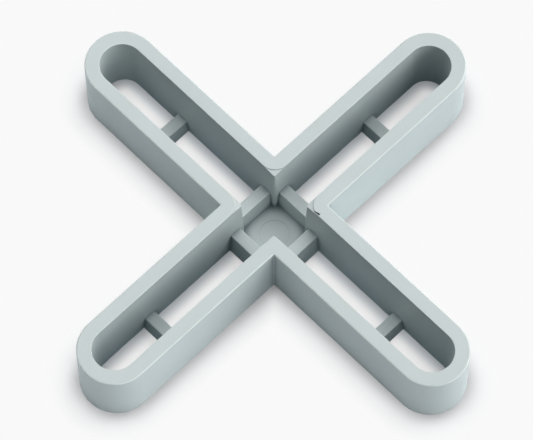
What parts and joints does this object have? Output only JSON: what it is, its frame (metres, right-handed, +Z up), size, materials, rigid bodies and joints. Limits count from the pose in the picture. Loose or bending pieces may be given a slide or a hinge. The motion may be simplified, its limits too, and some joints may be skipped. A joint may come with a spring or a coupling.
{
  "type": "tile spacer",
  "caption": "Hollow cross-shaped tile spacer: round-ended slotted arms, tied by low crossbars, set an even joint where tile corners meet.",
  "frame": {"origin": "middle of the underside", "axes": "arms lie along X and Y, +Z is up out of the joint"},
  "size_m": [0.068, 0.068, 0.01],
  "materials": {
    "spacer_plastic": "satin"
  },
  "bodies": {
    "root": {"cross_spacer": "spacer_plastic"}
  },
  "joints": []
}
